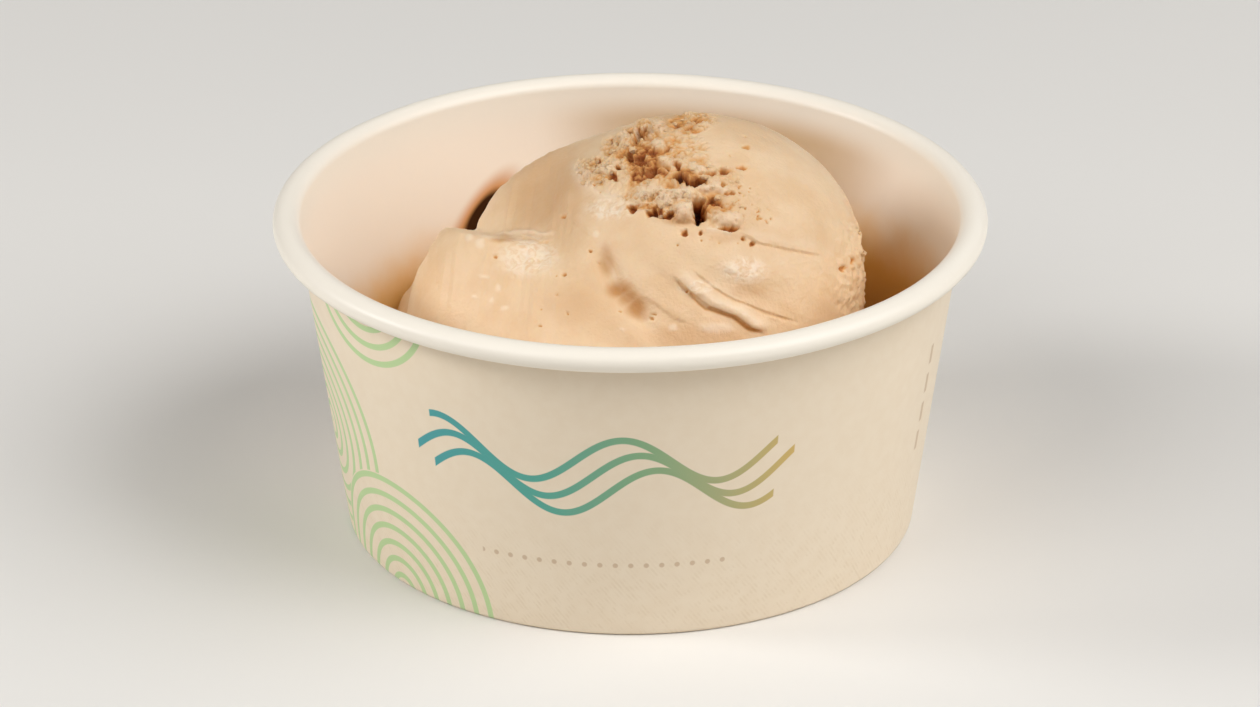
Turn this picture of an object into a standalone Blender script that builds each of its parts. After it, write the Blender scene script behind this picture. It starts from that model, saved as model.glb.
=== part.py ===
"""Gelato cup: a paper cup with a rolled rim, a recessed paper base and a spatula-worked mound of gelato.

Blender 4.5. Lengths are named in millimetres and turned to metres when a mesh is made. +Z is up and the
origin is the centre of the foot ring, on the surface that the cup stands on. The serving side faces -Y.
"""

import math

import bmesh
import bpy
import numpy as np
from mathutils import Vector, noise

MM = 0.001

# Paper cup, millimetres
RIM_RADIUS = 47.5
FOOT_RADIUS = 38.45
CUP_HEIGHT = 44.6
CURL_WIDTH = 3.7
CURL_HEIGHT = 3.1
CURL_END_DEG = -120.0
BOARD = 0.45
BASE_BOARD = 0.4
BASE_RECESS = 5.2
HEM_TOP = 4.6
HEM_BEND = 0.4
SKIRT_BEND = 0.6
GAP = 0.3
TURN_STEPS = 48

CURL_CENTRE = Vector((RIM_RADIUS - CURL_WIDTH / 2, CUP_HEIGHT - CURL_HEIGHT / 2))
INNER_AT_CURL = RIM_RADIUS - CURL_WIDTH
WALL_TAPER = (INNER_AT_CURL + BOARD - FOOT_RADIUS) / CURL_CENTRE.y

# Gelato, millimetres: each lobe is (centre, radii)
FLOOR_Z = BASE_RECESS + BASE_BOARD
HEART = np.array([0.0, 1.0, 24.0])
BELLY = ((-1.0, -6.0, 24.0), (27.0, 26.0, 21.5))
FOOT = ((0.0, 0.0, 13.0), (31.5, 31.5, 13.0))
HEEL = ((-14.0, 17.0, 18.0), (18.5, 18.0, 12.5))
BACK = ((2.0, 11.0, 21.0), (28.5, 25.0, 19.0))
SHOULDER = ((-17.0, -5.4, 27.8), (13.1, 14.9, 17.9))
DOME = ((8.9, 0.3, 34.2), (22.6, 25.1, 20.7))
CROWN = ((0.1, 5.5, 33.4), (21.8, 19.8, 16.5))
SHELF_NORMAL = (0.2, 0.38, 0.9)
SHELF_POINT = (-21.6, 0.0, 40.6)
FACET_NORMAL = (-0.464, -0.19, 0.865)
FACET_POINT = (-8.0, 6.0, 47.7)
WALL_CLEARANCE = 0.45

# Marks of the spatula, millimetres on the face that leans back towards the server
FACE_TILT = math.radians(24.6)
FOLDS = (
    # (start across, start up), (end across, end up), depth of the step, softness
    ((5.5, 30.8), (19.5, 22.2), 1.1, 3.0),
    ((12.0, 28.6), (25.0, 23.2), 0.7, 2.6),
    ((13.0, 36.6), (27.0, 32.2), 0.5, 2.6),
)
FURROW = ((-4.6, 36.0), (3.6, 21.0), 0.7, 3.0)
TORN_CENTRE = (4.0, 43.5)
TORN_RADII = (9.5, 7.0)
TORN_DEPTH = 1.8
LUMP_SIZE = 3.2
LUMP_HEIGHT = 0.9
UNDULATION = 0.35
ICO_LEVEL = 5
NOISE_SEED = Vector((3.1, 7.4, 1.9))


def wall_radius(z, inset=0.0):
    """Radius of the sidewall's outer face at height z, less a depth measured into the board."""
    return FOOT_RADIUS + WALL_TAPER * z - inset * math.hypot(1.0, WALL_TAPER)


def arc(centre, radii, start_deg, end_deg, points):
    """Points along an elliptical arc in the radius-height plane."""
    angles = np.radians(np.linspace(start_deg, end_deg, points))
    return [
        Vector((centre[0] + radii[0] * math.cos(a), centre[1] + radii[1] * math.sin(a)))
        for a in angles
    ]


def board_outline(path, thickness):
    """Closed outline of a strip of board bent along a path, right-hand side first."""
    sides = ([], [])
    for i, point in enumerate(path):
        before = path[max(i - 1, 0)]
        after = path[min(i + 1, len(path) - 1)]
        along = (after - before).normalized()
        across = Vector((along.y, -along.x)) * thickness / 2
        sides[0].append(point + across)
        sides[1].append(point - across)
    return sides[0] + sides[1][::-1]


def new_material(name, colour, roughness):
    """Principled material of a plain colour, given as linear RGB."""
    material = bpy.data.materials.new(name)
    material.use_nodes = True
    shader = material.node_tree.nodes["Principled BSDF"]
    shader.inputs["Base Color"].default_value = (*colour, 1.0)
    shader.inputs["Roughness"].default_value = roughness
    material.diffuse_color = (*colour, 1.0)
    return material


def add_object(name, mesh, material, collection):
    obj = bpy.data.objects.new(name, mesh)
    mesh.materials.append(material)
    collection.objects.link(obj)
    return obj


def turned(name, outline, closed, material, collection):
    """Solid of revolution about Z: a Screw modifier on an outline of (radius, height) points."""
    edges = [(i, i + 1) for i in range(len(outline) - 1)]
    if closed:
        edges.append((len(outline) - 1, 0))
    mesh = bpy.data.meshes.new(name)
    mesh.from_pydata([(p[0] * MM, 0.0, p[1] * MM) for p in outline], edges, [])
    obj = add_object(name, mesh, material, collection)
    screw = obj.modifiers.new("turn", "SCREW")
    screw.axis = "Z"
    screw.steps = TURN_STEPS
    screw.render_steps = TURN_STEPS
    screw.use_merge_vertices = True
    screw.merge_threshold = 0.00001
    screw.use_smooth_shade = True
    return obj


def build_wall(material, collection):
    """Sidewall: one board that starts in the rolled rim, runs down the cone and folds in round the base."""
    half = BOARD / 2
    curl = arc(
        CURL_CENTRE,
        (CURL_WIDTH / 2 - half, CURL_HEIGHT / 2 - half),
        CURL_END_DEG,
        180.0,
        11,
    )
    hem_inset = BOARD + GAP + BASE_BOARD + GAP + half
    outer_foot = wall_radius(HEM_BEND, half)
    inner_foot = wall_radius(HEM_BEND, hem_inset)
    foot = arc(
        (outer_foot - HEM_BEND, half + HEM_BEND), (HEM_BEND, HEM_BEND), 0.0, -90.0, 3
    )
    hem = arc(
        (inner_foot + HEM_BEND, half + HEM_BEND), (HEM_BEND, HEM_BEND), -90.0, -180.0, 3
    )
    hem_end = Vector((wall_radius(HEM_TOP, hem_inset), HEM_TOP))
    path = curl + foot + hem + [hem_end]
    outline = board_outline(path, BOARD)
    return turned("cup_wall", outline[::-1], True, material, collection)


def build_base(material, collection):
    """Base: a paper disc with its edge turned down into a skirt, held between the sidewall and its hem."""
    half = BASE_BOARD / 2
    skirt_inset = BOARD + GAP + half
    level = BASE_RECESS + half
    corner = wall_radius(level, skirt_inset)
    bend = arc(
        (corner - SKIRT_BEND, level - SKIRT_BEND), (SKIRT_BEND, SKIRT_BEND), 90.0, 0.0, 3
    )
    skirt_foot = BOARD + GAP
    skirt_end = Vector((wall_radius(skirt_foot, skirt_inset), skirt_foot))
    path = [Vector((0.0, level))] + bend + [skirt_end]
    outline = board_outline(path, BASE_BOARD)
    return turned("cup_base", outline[::-1], False, material, collection)


def soft_max(a, b, blend):
    """Larger of two reaches, rounded over where they are nearly equal."""
    near = np.clip(blend - np.abs(a - b), 0.0, None) / blend
    return np.maximum(a, b) + near * near * blend / 4


def soft_min(a, b, blend):
    return -soft_max(-a, -b, blend)


def lobe_reach(directions, lobe):
    """Distance from the heart of the mound to the far side of an ellipsoidal lobe."""
    centre, radii = np.array(lobe)
    start = (HEART - centre) / radii
    step = directions / radii
    a = (step * step).sum(axis=1)
    b = (step * start).sum(axis=1)
    root = b * b - a * ((start * start).sum() - 1.0)
    return np.where(root > 0.0, (np.sqrt(np.maximum(root, 0.0)) - b) / a, -50.0)


def cut_reach(directions, normal, point):
    """Distance from the heart to a flat cut made by the spatula."""
    toward = directions @ np.array(normal)
    depth = (np.array(point) - HEART) @ np.array(normal)
    return np.where(toward > 0.001, depth / np.maximum(toward, 0.001), 1000.0)


def eased(value):
    value = np.clip(value, 0.0, 1.0)
    return value * value * (3.0 - 2.0 * value)


def mound_reach(directions):
    """Reach of the packed lobes, before any mark is made in them."""
    shoulder = soft_min(
        lobe_reach(directions, SHOULDER),
        cut_reach(directions, SHELF_NORMAL, SHELF_POINT),
        1.5,
    )
    low = soft_max(shoulder, lobe_reach(directions, BELLY), 4.0)
    low = soft_max(low, lobe_reach(directions, FOOT), 4.0)
    low = soft_max(low, lobe_reach(directions, HEEL), 5.0)
    low = soft_max(low, lobe_reach(directions, BACK), 5.0)
    crown = soft_min(
        lobe_reach(directions, CROWN),
        cut_reach(directions, FACET_NORMAL, FACET_POINT),
        1.5,
    )
    high = soft_max(lobe_reach(directions, DOME), crown, 3.0)
    seam = eased((HEART[0] + directions[:, 0] * high + 14.0) / 10.0)
    return soft_max(low, high, 1.2 + 5.5 * seam)


def along_line(across, up, start, end):
    """Position along a line on the face (0 to 1) and distance to its upper right side."""
    start, end = np.array(start), np.array(end)
    length = np.hypot(*(end - start))
    tangent = (end - start) / length
    offset = np.stack([across, up], axis=1) - start
    return offset @ tangent / length, offset @ np.array([-tangent[1], tangent[0]])


def marks(points, directions):
    """Relief of the folds, the furrow, the torn top and the gentle unevenness, outward positive."""
    across = points[:, 0]
    up = points[:, 2] * math.cos(FACE_TILT) + points[:, 1] * math.sin(FACE_TILT)
    facing = eased(
        (directions[:, 2] * math.sin(FACE_TILT) - directions[:, 1] * math.cos(FACE_TILT))
        * 3.0
        + 0.2
    )
    relief = np.zeros(len(points))
    for start, end, depth, soft in FOLDS:
        along, side = along_line(across, up, start, end)
        fade = eased(along * 4.0 + 0.5) * eased((1.0 - along) * 4.0 + 0.5)
        step = np.where(side > 0.0, np.exp(-side / soft), -np.exp(side / soft))
        relief += facing * fade * depth / 2 * step
    start, end, depth, soft = FURROW
    along, side = along_line(across, up, start, end)
    fade = eased(along * 3.0 + 0.3) * eased((1.0 - along) * 3.0 + 0.3)
    relief -= facing * fade * depth * np.exp(-((side / soft) ** 2))
    torn = np.hypot(
        (across - TORN_CENTRE[0]) / TORN_RADII[0], (up - TORN_CENTRE[1]) / TORN_RADII[1]
    )
    torn = eased((1.15 - torn) * 2.0) * facing
    for i, point in enumerate(points):
        spot = Vector(point) + NOISE_SEED
        relief[i] += UNDULATION * noise.noise(spot / 11.0)
        if torn[i] > 0.0:
            lump = noise.noise(spot / LUMP_SIZE)
            relief[i] += torn[i] * (LUMP_HEIGHT * lump - TORN_DEPTH / 2)
    return relief


def build_gelato(material, collection):
    """Gelato: one star-shaped mound, held clear of the paper all round."""
    shape = bmesh.new()
    bmesh.ops.create_icosphere(shape, subdivisions=ICO_LEVEL, radius=1.0)
    directions = np.array([vertex.co.normalized() for vertex in shape.verts])
    reach = mound_reach(directions)
    points = HEART + directions * reach[:, None]
    reach = reach + marks(points, directions)
    lowest = FLOOR_Z + GAP
    falling = directions[:, 2] < -0.001
    to_floor = (HEART[2] - lowest) / np.maximum(-directions[:, 2], 0.001)
    reach = np.where(falling, np.minimum(reach, to_floor), reach)
    points = HEART + directions * reach[:, None]
    radius = np.hypot(points[:, 0], points[:, 1])
    inside = FOOT_RADIUS - BOARD * 1.01 + WALL_TAPER * points[:, 2] - WALL_CLEARANCE
    points[:, :2] *= (soft_min(radius, inside, 1.2) / np.maximum(radius, 0.001))[:, None]
    for vertex, point in zip(shape.verts, points):
        vertex.co = Vector(point) * MM
    for face in shape.faces:
        face.smooth = True
    mesh = bpy.data.meshes.new("gelato")
    shape.to_mesh(mesh)
    shape.free()
    return add_object("gelato", mesh, material, collection)


def main():
    for obj in list(bpy.data.objects):
        bpy.data.objects.remove(obj, do_unlink=True)
    cup = bpy.data.collections.new("gelato_cup")
    bpy.context.scene.collection.children.link(cup)
    paper = new_material("paper", (0.76, 0.66, 0.52), 0.55)
    inner_paper = new_material("base_paper", (0.78, 0.68, 0.54), 0.6)
    gelato = new_material("gelato", (0.70, 0.50, 0.31), 0.5)
    build_wall(paper, cup)
    build_base(inner_paper, cup)
    build_gelato(gelato, cup)


main()
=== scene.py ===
# Looks of the gelato cup: printed paper cup, gelato worked with a spatula, loose crumbs. Sizes are in millimetres.
import math
import bmesh
import bpy
import numpy as np
from mathutils import Matrix, Quaternion, Vector, noise
from mathutils.bvhtree import BVHTree


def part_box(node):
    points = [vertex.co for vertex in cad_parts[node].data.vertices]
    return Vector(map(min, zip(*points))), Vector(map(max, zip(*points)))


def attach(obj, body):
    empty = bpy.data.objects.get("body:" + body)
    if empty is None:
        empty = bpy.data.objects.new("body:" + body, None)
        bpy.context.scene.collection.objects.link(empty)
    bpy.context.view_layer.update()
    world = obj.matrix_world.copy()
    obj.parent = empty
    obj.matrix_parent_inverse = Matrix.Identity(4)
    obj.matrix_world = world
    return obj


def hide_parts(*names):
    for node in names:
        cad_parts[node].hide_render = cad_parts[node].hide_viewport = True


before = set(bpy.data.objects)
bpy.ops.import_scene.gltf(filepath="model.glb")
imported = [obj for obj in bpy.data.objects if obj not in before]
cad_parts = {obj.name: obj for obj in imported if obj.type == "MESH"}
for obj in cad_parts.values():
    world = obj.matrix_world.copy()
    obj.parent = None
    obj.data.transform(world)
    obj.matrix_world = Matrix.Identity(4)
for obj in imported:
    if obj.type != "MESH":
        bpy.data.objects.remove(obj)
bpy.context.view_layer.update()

mm = 0.001
wallLow, wallHigh = (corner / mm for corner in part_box("cup_wall"))
baseLow, baseHigh = (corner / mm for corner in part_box("cup_base"))

# ---- camera, where the person served stands ----

seat = {
    "from": (0.0, -609.9, 309.7),
    "at": (-0.06, 0.0, 22.39),
    "roll": -0.0963,  # degrees
    "lens": 142.857,
}


def placeCamera():
    toward = Vector(seat["at"]) - Vector(seat["from"])
    turn = toward.to_track_quat("-Z", "Y") @ Quaternion((0, 0, 1), math.radians(seat["roll"]))
    data = bpy.data.cameras.new("seat")
    data.lens = seat["lens"]
    data.sensor_width = 36.0
    data.clip_start = 0.01
    data.clip_end = 50.0
    camera = bpy.data.objects.new("seat", data)
    camera.rotation_mode = "QUATERNION"
    camera.rotation_quaternion = turn
    camera.location = Vector(seat["from"]) * mm
    bpy.context.scene.collection.objects.link(camera)
    bpy.context.scene.camera = camera
    return turn


seatTurn = placeCamera()
print("camera placed")

# ---- colours and nodes ----


def paint(code):
    # sRGB hex to the linear colour that the shaders work in
    parts = [int(code[i : i + 2], 16) / 255 for i in (1, 3, 5)]
    return tuple(p / 12.92 if p <= 0.04045 else ((p + 0.055) / 1.055) ** 2.4 for p in parts) + (1.0,)


def addNode(tree, kind, settings=None, links=None):
    node = tree.nodes.new("ShaderNode" + kind)
    for name, value in (settings or {}).items():
        if isinstance(name, str) and hasattr(node, name):
            setattr(node, name, value)
        else:
            node.inputs[name].default_value = value
    for name, source in (links or {}).items():
        tree.links.new(source, node.inputs[name])
    return node


def newMaterial(name):
    material = bpy.data.materials.new(name)
    material.use_nodes = True
    tree = material.node_tree
    tree.nodes.clear()
    shader = addNode(tree, "BsdfPrincipled")
    addNode(tree, "OutputMaterial", links={"Surface": shader.outputs["BSDF"]})
    place = addNode(tree, "TexCoord")
    inMm = addNode(tree, "Mapping", {"Scale": (1000.0, 1000.0, 1000.0)}, {"Vector": place.outputs["Object"]})
    return material, tree, shader, inMm.outputs["Vector"]


def blendColours(tree, share, first, second):
    # first and second are hex codes or sockets; share is a socket from 0 to 1
    node = addNode(tree, "Mix", {"data_type": "RGBA"}, {0: share})
    for index, value in ((6, first), (7, second)):
        if isinstance(value, str):
            node.inputs[index].default_value = paint(value)
        else:
            tree.links.new(value, node.inputs[index])
    return node.outputs[2]


def maths(tree, operation, first, second=0.0, third=0.0):
    node = addNode(tree, "Math", {"operation": operation})
    for index, value in enumerate((first, second, third)):
        if isinstance(value, (int, float)):
            node.inputs[index].default_value = value
        else:
            tree.links.new(value, node.inputs[index])
    return node.outputs[0]


def rise(tree, value, low, high):
    # 0 below low and 1 above high, rounded at both ends
    limits = {"interpolation_type": "SMOOTHSTEP", "From Min": low, "From Max": high}
    return addNode(tree, "MapRange", limits, {"Value": value}).outputs[0]


def within(tree, value, low, high, soft):
    return maths(
        tree, "MULTIPLY", rise(tree, value, low - soft, low + soft),
        maths(tree, "SUBTRACT", 1.0, rise(tree, value, high - soft, high + soft)),
    )


# ---- printed board: bleached cupboard, flood-printed in beige, satin varnish ----

printWork = {
    "ground": "#F0E0C8",
    "groundDeep": "#EEDDC4",
    "unroll": 42.0,  # radius at which the print is laid out flat
    "line": 0.85,
    "pitch": 2.4,
    # concentric ripples: (place round the cup, height), outer radius; later ones lie on top
    "ripples": (((-57.0, 17.0), 17.8), ((-38.5, 46.0), 12.6), ((-37.5, -1.0), 17.4)),
    "rippleColour": "#B7D698",
    # ribbon of three strands
    "ribbonHeight": 24.5,
    "ribbonGap": 2.3,
    "ribbonSwing": 3.4,
    "ribbonWave": 25.0,
    "ribbonEnds": (-30.0, 22.0),
    "ribbonStroke": 1.0,
    "ribbonColours": ((0.0, "#3F9DA3"), (0.35, "#52A898"), (0.6, "#84AE83"), (0.8, "#A9AC7C"), (1.0, "#D2B166")),
    "dotHeight": 11.0,
    "dotEnds": (-21.0, 13.0),
    "dotPitch": 2.1,
    "dotRadius": 0.36,
    "barPlace": 50.5,
    "barHeights": (16.6, 20.9, 25.2, 29.5),
    "tan": "#C9AC8B",
}


def printedBoard():
    # the varnish gives a broad soft shine, the board under it a faint mottle and a fine print screen
    material, tree, shader, inMm = newMaterial("printed_cupboard_satin_varnish")
    axes = addNode(tree, "SeparateXYZ", links={0: inMm}).outputs
    backwards = maths(tree, "MULTIPLY", axes[1], -1.0)
    around = maths(tree, "MULTIPLY", maths(tree, "ARCTAN2", axes[0], backwards), printWork["unroll"])
    height = axes[2]

    mottle = addNode(tree, "TexNoise", {"Scale": 0.5, "Detail": 4.0}, {"Vector": inMm}).outputs[0]
    colour = blendColours(tree, rise(tree, mottle, 0.3, 0.7), printWork["ground"], printWork["groundDeep"])

    # print screen: faint slanting rows about 0.7 mm apart, stronger towards the foot
    slant = maths(tree, "ADD", around, maths(tree, "MULTIPLY", height, 0.8))
    rows = rise(tree, maths(tree, "PINGPONG", slant, 0.36), 0.05, 0.32)
    patches = addNode(tree, "TexNoise", {"Scale": 0.9, "Detail": 2.0}, {"Vector": inMm}).outputs[0]
    low = maths(tree, "SUBTRACT", 1.0, rise(tree, height, 4.0, 22.0))
    screen = maths(tree, "MULTIPLY", maths(tree, "MULTIPLY", rows, rise(tree, patches, 0.4, 0.75)), low)
    colour = blendColours(tree, maths(tree, "MULTIPLY", screen, 0.35), colour, "#D9C3A2")

    half = printWork["line"] / 2
    ripple = maths(tree, "MULTIPLY", height, 0.0)
    for (side, level), reach in printWork["ripples"]:
        across = maths(tree, "SUBTRACT", around, side)
        up = maths(tree, "SUBTRACT", height, level)
        squares = maths(tree, "ADD", maths(tree, "MULTIPLY", across, across), maths(tree, "MULTIPLY", up, up))
        far = maths(tree, "SQRT", squares)
        ring = maths(tree, "PINGPONG", far, printWork["pitch"] / 2)
        ring = maths(tree, "SUBTRACT", 1.0, rise(tree, ring, half - 0.07, half + 0.07))
        inner = maths(tree, "SUBTRACT", 1.0, rise(tree, far, reach - 0.07, reach + 0.07))
        ripple = addNode(tree, "Mix", links={0: inner, 2: ripple, 3: ring}).outputs[0]
    colour = blendColours(tree, maths(tree, "MULTIPLY", ripple, 0.9), colour, printWork["rippleColour"])

    start, end = printWork["ribbonEnds"]
    sweep = maths(tree, "MULTIPLY", maths(tree, "SUBTRACT", around, start), math.tau / printWork["ribbonWave"])
    ribbon = None
    for strand in (-1, 0, 1):
        phase = maths(tree, "ADD", sweep, 0.55 * strand)
        line = maths(tree, "MULTIPLY", maths(tree, "SINE", phase), printWork["ribbonSwing"])
        level = maths(tree, "ADD", line, printWork["ribbonHeight"] + printWork["ribbonGap"] * strand)
        slope = maths(tree, "MULTIPLY", maths(tree, "COSINE", phase),
                      printWork["ribbonSwing"] * math.tau / printWork["ribbonWave"])
        steep = maths(tree, "SQRT", maths(tree, "ADD", maths(tree, "MULTIPLY", slope, slope), 1.0))
        gap = maths(tree, "ABSOLUTE", maths(tree, "SUBTRACT", height, level))
        gap = maths(tree, "DIVIDE", gap, steep)
        half = printWork["ribbonStroke"] / 2
        stroke = maths(tree, "SUBTRACT", 1.0, rise(tree, gap, half - 0.07, half + 0.07))
        trim = 2.6 * abs(strand)
        stroke = maths(tree, "MULTIPLY", stroke, within(tree, around, start + trim, end - trim, 0.1))
        ribbon = stroke if ribbon is None else maths(tree, "MAXIMUM", ribbon, stroke)
    along = addNode(tree, "MapRange", {"From Min": start, "From Max": end}, {"Value": around}).outputs[0]
    ramp = addNode(tree, "ValToRGB", links={0: along})
    steps = ramp.color_ramp.elements
    for index, (position, code) in enumerate(printWork["ribbonColours"]):
        step = steps[index] if index < 2 else steps.new(position)
        step.position = position
        step.color = paint(code)
    colour = blendColours(tree, ribbon, colour, ramp.outputs[0])

    start, end = printWork["dotEnds"]
    nearest = maths(tree, "PINGPONG", around, printWork["dotPitch"] / 2)
    rowGap = maths(tree, "SUBTRACT", height, printWork["dotHeight"])
    squares = maths(tree, "ADD", maths(tree, "MULTIPLY", nearest, nearest), maths(tree, "MULTIPLY", rowGap, rowGap))
    radius = printWork["dotRadius"]
    dots = maths(tree, "SUBTRACT", 1.0, rise(tree, maths(tree, "SQRT", squares), radius - 0.08, radius + 0.08))
    marks = maths(tree, "MULTIPLY", dots, within(tree, around, start, end, 0.1))
    for level in printWork["barHeights"]:
        bar = maths(tree, "MULTIPLY", within(tree, height, level - 1.4, level + 1.4, 0.15),
                    within(tree, around, printWork["barPlace"] - 0.5, printWork["barPlace"] + 0.5, 0.15))
        marks = maths(tree, "MAXIMUM", marks, bar)
    colour = blendColours(tree, maths(tree, "MULTIPLY", marks, 0.75), colour, printWork["tan"])
    tree.links.new(colour, shader.inputs["Base Color"])

    # board fibres about 0.5 mm long, and the knurled press marks that seal the hem on the inside of the foot
    fibres = addNode(tree, "TexNoise", {"Scale": 2.2, "Detail": 4.0, "Roughness": 0.6}, {"Vector": inMm}).outputs[0]
    knurl = maths(tree, "PINGPONG", around, 0.65)
    flat = maths(tree, "SQRT", maths(tree, "ADD", maths(tree, "MULTIPLY", axes[0], axes[0]),
                                     maths(tree, "MULTIPLY", axes[1], axes[1])))
    inFoot = maths(tree, "MULTIPLY", maths(tree, "SUBTRACT", 1.0, rise(tree, flat, 37.6, 37.7)),
                   within(tree, height, 1.2, 3.9, 0.3))
    relief = maths(tree, "ADD", maths(tree, "MULTIPLY", fibres, 0.06), maths(tree, "MULTIPLY", knurl, inFoot))
    bump = addNode(tree, "Bump", {"Strength": 0.35, "Distance": 0.0002}, {"Height": relief})
    tree.links.new(bump.outputs[0], shader.inputs["Normal"])
    shader.inputs["Roughness"].default_value = 0.5
    shader.inputs["IOR"].default_value = 1.5
    return material


linerWork = {
    "white": "#F6EEE0",
    "inside": "#F8EDDE",
    "paintedBackShade": "#C4A06B",  # painted shade and warm reflected light, stronger towards the back right
    # painted reflection: warm light bounced from the gelato onto the lower inner wall
    "paintedBounce": "#EFB750",
    "paintedBounceTops": (25.5, 32.5),  # height that the painted warm reflection reaches on the left and on the right
    # painted shadow beside the crown: a brown ring around a nearly black core
    "paintedSlotShadow": ("#D08E4C", "#1E0500"),
    "paintedShadowPlace": (-20.8, 36.0, 27.0),
    "paintedShadowSize": (2.7, 14.0, 6.6),
    "paintedShadowLean": 38.0,
}


def linerBoard():
    # the inner face: bleached board with a thin polyethylene film, white where it rolls out at the rim; lower down it
    # is tinted with a painted warm reflection of the gelato, with painted shade towards the back and a nearly black
    # painted shadow in the slot beside the crown
    material, tree, shader, inMm = newMaterial("bleached_board_film_lined")
    axes = addNode(tree, "SeparateXYZ", links={0: inMm}).outputs
    mottle = addNode(tree, "TexNoise", {"Scale": 0.15, "Detail": 3.0}, {"Vector": inMm}).outputs[0]
    inside = maths(tree, "SUBTRACT", 1.0, rise(tree, axes[2], 38.0, 42.6))
    colour = blendColours(tree, inside, linerWork["white"], linerWork["inside"])
    # painted shade: the inner wall turns darker and warmer towards the back right, below the rim roll
    toBack = maths(tree, "MULTIPLY_ADD", axes[0], 0.37, axes[1])
    paintedBackShade = maths(tree, "MULTIPLY", rise(tree, toBack, 35.5, 46.5), maths(tree, "MULTIPLY_ADD", mottle, 0.3, 0.7))
    colour = blendColours(tree, maths(tree, "MULTIPLY", paintedBackShade, inside), colour, linerWork["paintedBackShade"])
    # painted reflection: the lower wall is tinted warm as if lit by the gelato, up to a ragged edge that is higher on
    # the right
    left, right = linerWork["paintedBounceTops"]
    top = maths(tree, "MULTIPLY_ADD", axes[0], (right - left) / 80.0, (left + right) / 2)
    bounceEdgeNoise = addNode(tree, "TexNoise", {"Scale": 0.2, "Detail": 2.0}, {"Vector": inMm}).outputs[0]
    below = maths(tree, "SUBTRACT", maths(tree, "MULTIPLY_ADD", bounceEdgeNoise, 4.0, maths(tree, "SUBTRACT", top, 2.0)), axes[2])
    paintedBounce = maths(tree, "MULTIPLY", rise(tree, below, -2.5, 8.5), 0.9)
    colour = blendColours(tree, paintedBounce, colour, linerWork["paintedBounce"])
    # painted shadow on the wall in the slot beside the crown: brown, then nearly black towards its middle, with less
    # shine there
    paintedSlotShadow = addNode(tree, "Mapping", {"vector_type": "TEXTURE"}, {"Vector": inMm})
    paintedSlotShadow.inputs["Location"].default_value = linerWork["paintedShadowPlace"]
    paintedSlotShadow.inputs["Rotation"].default_value = (0.0, math.radians(linerWork["paintedShadowLean"]), 0.0)
    paintedSlotShadow.inputs["Scale"].default_value = linerWork["paintedShadowSize"]
    fromPaintedShadow = addNode(tree, "VectorMath", {"operation": "LENGTH"}, {0: paintedSlotShadow.outputs[0]}).outputs["Value"]
    for shade, (near, far) in zip(linerWork["paintedSlotShadow"], ((0.6, 1.35), (0.45, 0.76))):
        paintedShadowShare = maths(tree, "SUBTRACT", 1.0, rise(tree, fromPaintedShadow, near, far))
        colour = blendColours(tree, maths(tree, "MULTIPLY", paintedShadowShare, 0.95), colour, shade)
    dull = maths(tree, "MULTIPLY_ADD", paintedShadowShare, -0.45, 0.5)
    tree.links.new(dull, shader.inputs["Specular IOR Level"])
    tree.links.new(colour, shader.inputs["Base Color"])
    fibres = addNode(tree, "TexNoise", {"Scale": 1.6, "Detail": 4.0, "Roughness": 0.6}, {"Vector": inMm}).outputs[0]
    bump = addNode(tree, "Bump", {"Strength": 0.3, "Distance": 0.00004}, {"Height": fibres})
    tree.links.new(bump.outputs[0], shader.inputs["Normal"])
    shader.inputs["Roughness"].default_value = 0.42
    shader.inputs["IOR"].default_value = 1.5
    return material


def baseBoard():
    # the bottom disc: the same board without print, a little duller and more fibrous
    material, tree, shader, inMm = newMaterial("bleached_board_plain")
    mottle = addNode(tree, "TexNoise", {"Scale": 0.4, "Detail": 4.0}, {"Vector": inMm}).outputs[0]
    colour = blendColours(tree, rise(tree, mottle, 0.3, 0.7), "#EFE4D2", "#E8DAC5")
    tree.links.new(colour, shader.inputs["Base Color"])
    fibres = addNode(tree, "TexNoise", {"Scale": 3.0, "Detail": 5.0, "Roughness": 0.65}, {"Vector": inMm}).outputs[0]
    bump = addNode(tree, "Bump", {"Strength": 0.4, "Distance": 0.00008}, {"Height": fibres})
    tree.links.new(bump.outputs[0], shader.inputs["Normal"])
    shader.inputs["Roughness"].default_value = 0.6
    return material


# ---- paper cup ----

cup = {
    "footRadius": 38.45,
    "curlWidth": 3.7,
    "curlHeight": 3.1,
    "curlEnd": -120.0,  # degrees
    "curlSteps": 33,
    "board": 0.45,
    "baseBoard": 0.4,
    "gap": 0.3,
    "hemTop": 4.6,
    "hemBend": 0.4,
    "skirtBend": 0.6,
    "wallRows": 20,
    "turnSteps": 240,
    "seamPlace": 166.0,  # degrees round from the front
    "seamWidth": 8.0,
    "seamStep": 0.38,
}
rimRadius = wallHigh.x
curlCentre = Vector((rimRadius - cup["curlWidth"] / 2, wallHigh.z - cup["curlHeight"] / 2))
innerAtCurl = rimRadius - cup["curlWidth"]
wallTaper = (innerAtCurl + cup["board"] - cup["footRadius"]) / curlCentre.y
baseLevel = baseHigh.z - cup["baseBoard"] / 2


def wallRadius(z, inset=0.0):
    return cup["footRadius"] + wallTaper * z - inset * math.hypot(1.0, wallTaper)


def arc(centre, radii, startDeg, endDeg, count):
    turns = np.radians(np.linspace(startDeg, endDeg, count))
    return [Vector((centre[0] + radii[0] * math.cos(a), centre[1] + radii[1] * math.sin(a))) for a in turns]


def line(start, end, count):
    # points between two ends, without the ends
    return [start.lerp(end, i / (count + 1)) for i in range(1, count + 1)]


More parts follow.
